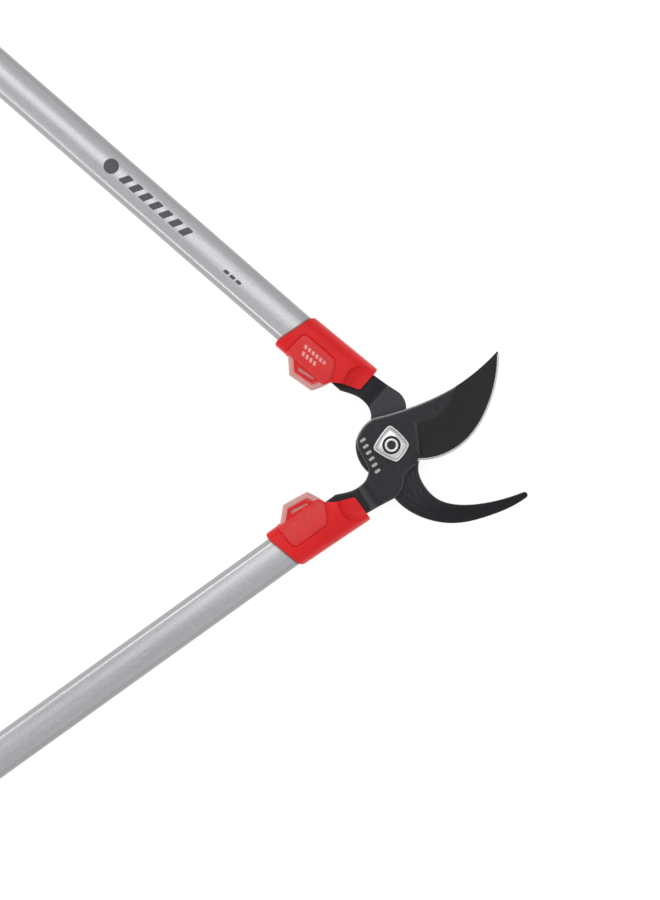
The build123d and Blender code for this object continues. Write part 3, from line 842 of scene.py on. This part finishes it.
def tube_piece(arm):
    """Drawn tube: a soft-edged ridged section near the jaws that turns into a plain oval."""
    head = softened(section(TUBE_HEAD), 3)
    head *= np.minimum(1, TUBE_HALF / np.abs(head).max(axis=0))
    oval = head.copy()
    oval[:, 1] = np.sign(head[:, 1]) * TUBE_HALF[1]
    oval[:, 1] *= np.sqrt(np.clip(1 - (head[:, 0] / TUBE_HALF[0]) ** 2, 0, 1))
    stations = np.concatenate([np.linspace(TUBE_FRONT, -99, 6), np.arange(-99.3, -110.8, -0.3),
                               np.linspace(-111, TUBE_OVAL_FROM, 24),
                               np.linspace(TUBE_OVAL_FROM, TUBE_BACK, 20)[1:]])
    inset = 1 - TUBE_WALL / np.array(TUBE_HALF)
    skins = []
    for scale, order in ((1, stations), (inset, stations[::-1])):
        for x in order:
            share = np.clip((x - TUBE_FRONT) / (TUBE_OVAL_FROM - TUBE_FRONT), 0, 1)
            ring = (head + (oval - head) * share) * scale
            skins.append(np.column_stack([np.full(len(ring), x), TUBE_Y + ring[:, 0],
                                          MID_Z + ring[:, 1]]))
    faces = grid_faces(len(skins), len(head), looped=True)
    rings = np.concatenate(skins)
    piece = arm_piece(arm, "tube_drawn", rings, faces, "satin_tube",
                      satin_tube(f"{arm}_tube_satin", SIDES[arm]))
    # Painted shadow on the tube along the ferrule's rear edge.
    behind = rear_line(rings[:, 1]) - rings[:, 0]
    paint(piece, "painted_shadow", 0.85 * np.exp(-(np.clip(behind, 0, None) / 0.75) ** 2))
    # Painted highlight along the ridge, fading towards the oval.
    u = rings[:, 1] - TUBE_Y
    ridged = 1 - 0.8 * smooth((TUBE_FRONT - rings[:, 0]) / (TUBE_FRONT - TUBE_OVAL_FROM))
    paint(piece, "ridge", 0.9 * ridged * np.exp(-((u - RIDGE) / 0.5) ** 2))
    # Painted shade on the inner flank below the ridge and on the outer side.
    inner_flank_shade = 0.6 * smooth((RIDGE - 0.6 - u) / 0.5) * smooth((u + 13.3) / 0.4)
    paint(piece, "painted_flank_shade", np.maximum(inner_flank_shade, 0.8 * smooth((u - 9) / 2.5)))
    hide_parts(f"{arm}_tube")


FRONT_CORNERS = ([-0.9, 4.8, 9.4, 14.5, 33.7], [-64.2, -61.4, -55.0, -42.0, -41.8])


def rear_line(y):
    """Handle x of the ferrule's slanted rear edge."""
    line = np.interp(y, [-0.9, 32.3], [-108.8, -100.2])
    for corner, radius, way in ((32.5, 4.0, 1), (-1.1, 3.5, -1)):
        past = np.clip((y - (corner - way * radius)) * way, 0, radius * 0.995)
        line = line + radius - np.sqrt(radius ** 2 - past ** 2)
    return line


def front_line(y):
    """Handle x of the ferrule's front edge: square across, then slanting back."""
    line = sum(np.interp(y + shift, *FRONT_CORNERS) for shift in np.linspace(-0.9, 0.9, 7)) / 7
    past = np.clip(y - 31.9, 0, 1.5)
    return line - 1.8 + np.sqrt(1.8 ** 2 - past ** 2)


def ferrule_skin(stations):
    """Outer skin of the ferrule as rows of points, one row per share of its length."""
    ring = softened(section(FERRULE_UPPER), 6)
    rows = []
    for share in stations:
        outer = REAR_OUTER + (FRONT_OUTER - REAR_OUTER) * share
        u = np.where(ring[:, 0] > 0, ring[:, 0] * outer / FRONT_OUTER, ring[:, 0])
        y = TUBE_Y + u
        back, front = rear_line(y), front_line(y)
        rows.append(np.column_stack([back + (front - back) * share, y, ring[:, 1]]))
    return np.array(rows)


PANEL_OUTLINE = rounded_polygon(
    ((-98.2, -3.5), (-96.8, 18.8), (-69.2, 19), (-65, 14), (-60.9, 5), (-64.2, -3.5)),
    (0, 3.5, 4.0, 5.0, 1.5, 0), 1.2)
SCALLOP_CENTRE = (-41.5, 19.5)
SCALLOP_FLOOR = 6.3
SCALLOP_RISE = 5.9
SCALLOP_REACH = 15.0
# Rows over the ferrule's ends: share of the way in from its skin, and how far forward.
REAR_ROWS = ((1.0, 5.5), (1.0, 0.9), (0.92, 0.46), (0.55, 0.275), (0.22, 0.16), (0.07, 0.335))
FRONT_ROWS = ((0.05, -0.15), (0.16, 0), (0.5, 0), (0.93, 0), (1.0, -0.15), (1.0, -4.3))
BORE_SHARE = 1.035              # the rear bore stands a little off the tube


def ferrule_height(x, y, z):
    """The skin's height after the thumb cut in front and the groove round the panel."""
    reach = np.hypot(x - SCALLOP_CENTRE[0], y - SCALLOP_CENTRE[1])
    limit = SCALLOP_FLOOR + SCALLOP_RISE * (reach / SCALLOP_REACH) ** 5
    height = soft_min(np.abs(z), limit, 0.12)
    plan = np.column_stack([x.ravel(), y.ravel()])
    gap = distance(plan, PANEL_OUTLINE).reshape(x.shape)
    groove = 0.8 * np.exp(-(gap / 0.6) ** 2) * smooth((np.abs(z) - 4) / 3)
    return np.sign(z) * (height - groove)


def ferrule_piece(arm):
    """Hard red ferrule with a rounded rear rim, and a slot in front for the tang."""
    stations = np.concatenate([[0, 0.004, 0.012], np.linspace(0.02, 0.985, 150),
                               [0.992, 0.997, 1.0]])
    skin = ferrule_skin(stations)
    skin[..., 2] = ferrule_height(*np.moveaxis(skin, -1, 0))
    bore = softened(section(TUBE_HEAD), 2) * BORE_SHARE + (TUBE_Y, 0)
    rear, front = skin[0, :, 1:], skin[-1, :, 1:]
    slot = np.column_stack([np.clip(front[:, 0], *TANG_ROOM[1:]),
                            np.clip(front[:, 1], -TANG_ROOM[0], TANG_ROOM[0])])
    rows = []
    for inset, ahead in REAR_ROWS:
        rows.append(np.column_stack([rear_line(rear[:, 0]) + ahead, rear + (bore - rear) * inset]))
    rows += list(skin[1:])
    for inset, ahead in FRONT_ROWS:
        ring = front + (slot - front) * inset
        rows.append(np.column_stack([front_line(ring[:, 0]) + ahead, ring]))
    piece = arm_piece(arm, "ferrule_shell", *capped(np.array(rows)), "red_plastic", RED, crease=45)
    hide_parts(f"{arm}_ferrule")


EAR_CORNERS = ((-97, 1), (-95, -1), (-86, -10.2), (-67, -8.1), (-63.2, -0.9), (-61.2, 4.0),
               (-75, 7), (-92, 7))
RIB_OUTER = ((-94, 3), (-84.8, -6), (-71.8, -4.6), (-66.6, 3))
RIB_WINDOW = ((-86.4, -1.5), (-83.5, -4.3), (-71.4, -2.3), (-70.6, 0.3))
WINDOW_LINE = respaced(rounded_polygon(RIB_WINDOW, (0.5, 0.9, 0.9, 0.5), 0.4), 0.6)
EAR_HALF = 8.5
MARK_ROWS = ((7.6, -90.0, -76.0), (12.2, -92.0, -72.0))     # middle, rear and front end
MARK_PITCH = 3.4
PANEL_DEPTH = 1.3


def rib_piece(arm):
    """Stiff red loop of the ferrule that shows in the bumper's ear."""
    outer = respaced(rounded_polygon(RIB_OUTER, (0, 1.3, 1.3, 0), 0.4), 0.6)
    plan, triangles = flat_mesh([outer, WINDOW_LINE], rounding_rings(0.35), 0.7)
    gap = np.minimum(distance(plan, outer), distance(plan, WINDOW_LINE))
    half = EAR_HALF + 0.1 - rounding(gap, 0.35)
    points, faces = slab(plan, triangles, MID_Z + half, MID_Z - half)
    arm_piece(arm, "ferrule_rib", points, faces, "red_plastic", RED)


def ear_piece(arm):
    """Translucent ear of the bumper, the stop that meets the other handle's ear."""
    outline = respaced(rounded_polygon(EAR_CORNERS, (0, 2, 1.6, 2.2, 2, 0, 0, 0), 0.5), 0.7)
    plan, triangles = flat_mesh([outline], rounding_rings(1.9) + [2.5], 0.8,
                                [np.vstack([WINDOW_LINE, WINDOW_LINE[:1]])])
    deep = distance(plan, outline)
    within = smooth(distance(plan, WINDOW_LINE) / 1.0) * inside(plan, WINDOW_LINE)
    half = EAR_HALF - rounding(deep, 1.9) - 1.2 * within
    points, faces = slab(plan, triangles, MID_Z + half, MID_Z - half)
    piece = arm_piece(arm, "bumper_ear", points, faces, "clear_red_rubber", BUMPER)
    red = (0.12 + 0.88 * smooth((deep - 2.8) / 1.6)) * (1 - 0.75 * within)
    paint(piece, "core", np.tile(red, 2))
    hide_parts(f"{arm}_bumper")


def trimmed_skin():
    """The part of the ferrule's skin inside the panel's outline, as an open sheet."""
    rows = ferrule_skin(np.linspace(0.05, 0.97, 230))
    points = rows.reshape(-1, 3)
    near = inside(points[:, :2], PANEL_OUTLINE) | (distance(points[:, :2], PANEL_OUTLINE) < 1)
    work = bmesh.new()
    verts = {}
    for face in grid_faces(len(rows), rows.shape[1]):
        if near[list(face)].all():
            for i in face:
                if i not in verts:
                    verts[i] = work.verts.new(points[i])
            work.faces.new([verts[i] for i in face])
    for start, end in runs(PANEL_OUTLINE):
        normal = (start[1] - end[1], end[0] - start[0])
        bmesh.ops.bisect_plane(work, geom=[*work.verts, *work.edges, *work.faces],
                               plane_co=(*start, 0), plane_no=(*normal, 0), clear_outer=True)
    work.normal_update()
    work.verts.index_update()
    places = np.array([tuple(v.co) for v in work.verts])
    normals = np.array([tuple(v.normal) for v in work.verts])
    faces = [tuple(v.index for v in f.verts) for f in work.faces]
    work.free()
    return places, normals, faces


def panel_marks(places):
    """Two rows of slanting dashes: 1 where they stand, 0 between them."""
    marks = np.zeros(len(places))
    for beside, first, last in MARK_ROWS:
        along = smooth((places[:, 0] - first) / 0.5) * smooth((last - places[:, 0]) / 0.5)
        slant = places[:, 0] + 0.4 * places[:, 1]
        dashes = smooth((np.cos(2 * pi * slant / MARK_PITCH) + 0.45) / 0.5)
        marks += along * dashes * (1 - smooth((np.abs(places[:, 1] - beside) - 1.1) / 0.4))
    return marks


def panel_piece(arm):
    """Soft skin of the bumper, wrapped over the ferrule's inner side, with raised marks."""
    places, normals, faces = trimmed_skin()
    normals *= np.sign((normals * (places - (-80, TUBE_Y, 0))).sum(axis=1).mean())
    marks = panel_marks(places) * (places[:, 2] * SIDES[arm] > 7)
    corners = np.array(RIB_WINDOW)
    window = inside(places[:, :2], corners) * (np.abs(places[:, 2]) > 3)
    window = window * smooth(distance(places[:, :2], corners) / 0.7)
    lift = -0.45 + 0.7 * smooth(distance(places[:, :2], PANEL_OUTLINE) / 0.8)
    lift += 0.3 * marks - 0.8 * window
    top = places + normals * lift[:, None] + (0, 0, MID_Z)
    under = places - normals * PANEL_DEPTH + (0, 0, MID_Z)
    points, shell_faces = shell(top, under, faces)
    piece = arm_piece(arm, "bumper_panel", points, shell_faces, "clear_red_rubber", PANEL)
    paint(piece, "core", np.tile(1 - 0.9 * marks - 0.7 * window, 2))


# ---- grip ----

GRIP_BACK = -686.0
GRIP_FRONT = -546.0
GRIP_BORE = (13.3, 9.85)
GRIP_RIBS = (-672, -586)
GRIP_RINGS = (-566, -549.5)
GRIP_PROFILE = ((0.0, 19.2, 15.6), (0.16, 18.6, 16.0), (0.45, 17.0, 15.0),
                (0.75, 18.4, 16.0), (0.93, 16.6, 13.2), (1.0, 17.4, 13.6))
INLAY_HALF = (52.0, 7.5)
INLAY_MIDDLE = (GRIP_BACK + GRIP_FRONT) / 2 - 4


def grip_halves(x):
    """Half width and half height of the grip at handle stations."""
    share = (x - GRIP_BACK) / (GRIP_FRONT - GRIP_BACK)
    keys = np.array(GRIP_PROFILE)
    fine = np.linspace(-0.1, 1.1, 241)
    halves = []
    for column in (1, 2):
        values = np.interp(fine, keys[:, 0], keys[:, column])
        for _ in range(60):
            values[1:-1] = (values[:-2] + 2 * values[1:-1] + values[2:]) / 4
        halves.append(np.minimum(np.interp(share, fine, values), keys[:, column].max()))
    return halves


def grip_piece(arm):
    """Rubber grip: ribs across the fingers' side, rings at its flared front."""
    xs = np.arange(GRIP_BACK, GRIP_FRONT + 0.01, 0.7)
    wide, high = grip_halves(xs)
    angles = np.arange(144) * 2 * pi / 144
    c, s = np.cos(angles)[None, :], np.sin(angles)[None, :]
    x = xs[:, None] + 0 * c
    lip = np.sqrt(np.clip(x - GRIP_BACK, 0.02, 1))
    lip = lip * np.sqrt(np.clip((GRIP_FRONT - x) / 1.2, 0.02, 1))
    wave = 0.5 - 0.5 * np.cos(2 * pi * (x - GRIP_BACK) / 5.2)
    ribs = 0.55 * (1 - smooth((wave - 0.05) / 0.4)) * (1 - smooth((c - 0.55) / 0.2))
    ribs *= smooth((x - GRIP_RIBS[0]) / 4) * smooth((GRIP_RIBS[1] - x) / 4)
    rings = 0.5 * (1 - smooth((0.5 - 0.5 * np.cos(2 * pi * x / 3.6)) / 0.35))
    rings *= smooth((x - GRIP_RINGS[0]) / 2) * smooth(GRIP_RINGS[1] - x)
    inset = ribs + rings + 0.9 * (1 - lip)
    skin = np.stack([x, TUBE_Y + (wide[:, None] - inset) * c, (high[:, None] - inset) * s], axis=-1)

    def bore(place):
        return np.stack([place + 0 * c, TUBE_Y + GRIP_BORE[0] * c, GRIP_BORE[1] * s], axis=-1)

    rows = np.concatenate([bore(GRIP_BACK), skin, bore(GRIP_FRONT), bore(GRIP_FRONT - 3)])
    piece = arm_piece(arm, "grip_sleeve", *capped(rows), "grip_rubber", GRIP)
    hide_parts(f"{arm}_grip")


def inlay_piece(arm):
    """Soft red pad on the palm side, with a field of small raised dots."""
    reach, across = INLAY_HALF
    fine = np.linspace(0, 2, 8) ** 2 / 2
    ends = np.array((-reach, reach)) + INLAY_MIDDLE
    xs = np.concatenate([ends[0] + 0.02 + fine, np.arange(ends[0] + 2.6, ends[1] - 2.5, 0.6),
                         ends[1] - 0.02 - fine[::-1]])
    past = np.clip(np.abs(xs - INLAY_MIDDLE) - reach + across, 0, across)
    half = np.sqrt(np.maximum(across ** 2 - past ** 2, 1e-4))[:, None]
    share = np.linspace(-1, 1, 37)[None, :]
    wide, high = grip_halves(xs)
    x = xs[:, None] + 0 * share
    z = half * share
    y = TUBE_Y + wide[:, None] * np.sqrt(1 - (z / high[:, None]) ** 2)
    margin = np.minimum((1 - np.abs(share)) * half, reach - np.abs(x - INLAY_MIDDLE))
    dots = np.maximum(0, np.cos(pi * x / 3.0) * np.cos(pi * z / 2.5))
    lift = -0.35 + 0.6 * smooth(margin / 0.9) + 0.3 * dots ** 0.7 * smooth((margin - 1.4) / 0.8)
    top = np.stack([x, y + lift, z + MID_Z], axis=-1).reshape(-1, 3)
    under = np.stack([x, y - 1.5, z * 0.98 + MID_Z], axis=-1).reshape(-1, 3)
    points, faces = shell(top, under, grid_faces(*x.shape, closed=False))
    piece = arm_piece(arm, "grip_pad", points, faces, "inlay_rubber", INLAY)
    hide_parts(f"{arm}_grip_inlay")


# ---- printed marks ----

def tube_top(x, y):
    """Height of the tube's upper face over the handle's middle plane."""
    head = section(TUBE_HEAD)
    upper = head[head[:, 1] > 0]
    upper = upper[np.argsort(upper[:, 0])]
    oval = TUBE_HALF[1] * np.sqrt(np.clip(1 - (upper[:, 0] / TUBE_HALF[0]) ** 2, 0, 1))
    share = np.clip((x - TUBE_FRONT) / (TUBE_OVAL_FROM - TUBE_FRONT), 0, 1)
    near, far = (np.interp(y - TUBE_Y, upper[:, 0], z) for z in (upper[:, 1], oval))
    return near + (far - near) * share


SQUARE = ((-1, -1), (1, -1), (1, 1), (-1, 1))


def slanted_bar(x, y, wide, tall, slant=2.0):
    """Outline of a bar that leans along the handle."""
    corners = [(x + a * wide / 2 + b * slant, y + b * tall / 2)
               for a, b in SQUARE]
    return rounded_polygon(corners, (0.8, 0.8, 0.8, 0.8), 0.4)


def print_pieces(name, arm, outlines, ink, level=None):
    """Thin closed wafers of ink that follow the tube's upper face, or lie at a level."""
    points, faces = [], []
    for outline in outlines:
        plan, triangles = flat_mesh([respaced(outline, 0.8)], [], 0.8)
        top = np.full(len(plan), level) if level else MID_Z + tube_top(plan[:, 0], plan[:, 1])
        more_points, more_faces = slab(plan, triangles, top + 0.05, top - 0.15)
        start = sum(len(p) for p in points)
        points.append(more_points)
        faces += [tuple(i + start for i in face) for face in more_faces]
    make_piece(name, np.concatenate(points), faces, BODIES[arm], [ink], SIDES[arm])


# ---- all pieces ----

blade_piece()
hook_piece()
cap_piece()
for arm in SIDES:
    tube_piece(arm)
    ferrule_piece(arm)
    rib_piece(arm)
    ear_piece(arm)
    panel_piece(arm)
    grip_piece(arm)
    inlay_piece(arm)
    finish_node(f"{arm}_end_cap", CAP_PLASTIC)
    finish_node(f"{arm}_tang_rivets", FASTENER)
    finish_node(f"{arm}_tang_spacers", INNER)
for name in ("pivot_washer", "pivot_nut"):
    finish_node(name, FASTENER)
finish_node("pivot_bolt", OXIDE)
finish_node("pivot_bush", BRONZE)

# Plain shapes where the photo has lettering: sizes and places in the handle's frame.
bars = [slanted_bar(x, 17.7, 5.4, 7.2) for x in np.linspace(-261, -206, 7)]
badge = [circle(5.4, 48, (-275, 18.0))]
dashes = [slanted_bar(x, 15.2, 4.2, 2.4, 0.6) for x in (-166, -160.5, -155)]
print_pieces("tube_marks", "hook", bars + badge + dashes, INK)
etched = [slanted_bar(-16.8 - 0.18 * y, y, 4.4, 2.0, 0.5) for y in np.linspace(-14.5, 9, 6)]
print_pieces("hub_marks", "blade", etched, ETCHED,
             MID_Z + SIDE_GAP + PLATE)


# ---- stage, lights, camera ----

LAMP_AIM = Vector((0, 0, 0.02))
FLOOR_HALF = 6.0


def stage():
    """Plain white sweep that the tool lies on."""
    finish = Finish("floor_white", (0.25, 0.25, 0.25), 0.8, Specular_IOR_Level=0.1,
                    Emission_Color=(1, 1, 1, 1), Emission_Strength=0.87)
    mesh = bpy.data.meshes.new("floor")
    corners = [(x * FLOOR_HALF, y * FLOOR_HALF, 0) for x, y in SQUARE]
    mesh.from_pydata(corners, [], [(0, 1, 2, 3)])
    mesh.materials.append(finish.material)
    floor = linked("floor", mesh)


def softbox(name, place, size, power, turn=0.0):
    """Rectangular area light that looks at the tool, turned about its own axis."""
    light = bpy.data.lights.new(name, "AREA")
    light.shape = "RECTANGLE"
    light.size, light.size_y = size
    light.energy = power
    lamp = linked(name, light)
    lamp.location = place
    look = (LAMP_AIM - Vector(place)).to_track_quat("-Z", "Y").to_matrix()
    lamp.rotation_euler = (look @ Matrix.Rotation(turn, 3, "Z")).to_euler()
    lamp.visible_camera = False


def world(low, high):
    """Soft studio surround, brighter overhead and to the left than to the lower right."""
    made = bpy.data.worlds.new("studio")
    made.use_nodes = True
    tree = made.node_tree
    place = shader_node(tree, "TexCoord")
    slant = shader_node(tree, "VectorMath", operation="DOT_PRODUCT")
    slant.inputs[1].default_value = (-0.45, 0.25, 0.86)
    rise = shader_node(tree, "MapRange", interpolation_type="SMOOTHSTEP", From_Min=0.2,
                       From_Max=0.9, To_Min=low, To_Max=high)
    tree.links.new(place.outputs["Generated"], slant.inputs[0])
    tree.links.new(slant.outputs["Value"], rise.inputs["Value"])
    tree.nodes["Background"].inputs["Color"].default_value = (1, 1, 1, 1)
    tree.links.new(rise.outputs[0], tree.nodes["Background"].inputs["Strength"])
    bpy.context.scene.world = made


def place_camera():
    """Straight down over the jaws, turned a little, as long a lens as a catalogue shot."""
    height = 2.2
    view_height = 0.63
    lens = bpy.data.cameras.new("camera")
    lens.sensor_width = 36.0
    lens.lens = lens.sensor_width * (height - PIVOT.z) / view_height
    lens.clip_end = 20.0
    eye = linked("camera", lens)
    eye.location = (-0.0427, -0.0054, height)
    eye.rotation_euler = (0, 0, radians(2.72))
    bpy.context.scene.camera = eye


stage()
world(0.72, 0.79)
softbox("overhead", (-0.22, 0.51, 1.55), (0.95, 0.8), 3.0, turn=radians(-38.4))
softbox("left", (-1.35, 0, 0.45), (3.6, 0.25), 5)
place_camera()
bpy.context.scene.view_settings.view_transform = "Standard"
